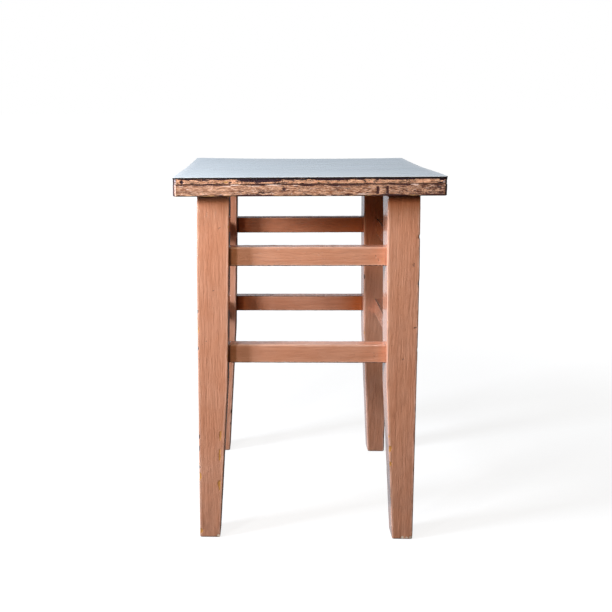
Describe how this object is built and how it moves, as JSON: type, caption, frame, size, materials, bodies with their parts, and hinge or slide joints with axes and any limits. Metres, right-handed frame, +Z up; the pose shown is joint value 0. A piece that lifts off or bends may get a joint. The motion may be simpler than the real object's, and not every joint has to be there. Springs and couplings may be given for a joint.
{
  "type": "wooden stool",
  "caption": "Square wooden kitchen stool with a laminate-topped layered seat on tapered legs tied by upper and lower rails.",
  "frame": {"origin": "on the floor, under the centre of the seat", "axes": "+Z up, front towards -Y, +X to the right as seen from the front"},
  "size_m": [0.304, 0.302, 0.45],
  "materials": {
    "laminate": "worn satin laminate",
    "ply_edge": "old cracked paint on a plywood edge",
    "seat_edge_paint": "rough worn paint",
    "wood_paint": "brushed gloss paint, chipped at the edges",
    "bare_wood": "bare"
  },
  "bodies": {
    "root": {"seat_laminate": "laminate", "seat_top_board": "ply_edge", "seat_base_board": "seat_edge_paint", "seat_wedges": "bare_wood", "leg_front_left": "wood_paint", "leg_front_right": "wood_paint", "leg_back_left": "wood_paint", "leg_back_right": "wood_paint", "rail_front_upper": "wood_paint", "rail_front_lower": "wood_paint", "rail_back_upper": "wood_paint", "rail_back_lower": "wood_paint", "rail_left_upper": "wood_paint", "rail_left_lower": "wood_paint", "rail_right_upper": "wood_paint", "rail_right_lower": "wood_paint"}
  },
  "joints": []
}
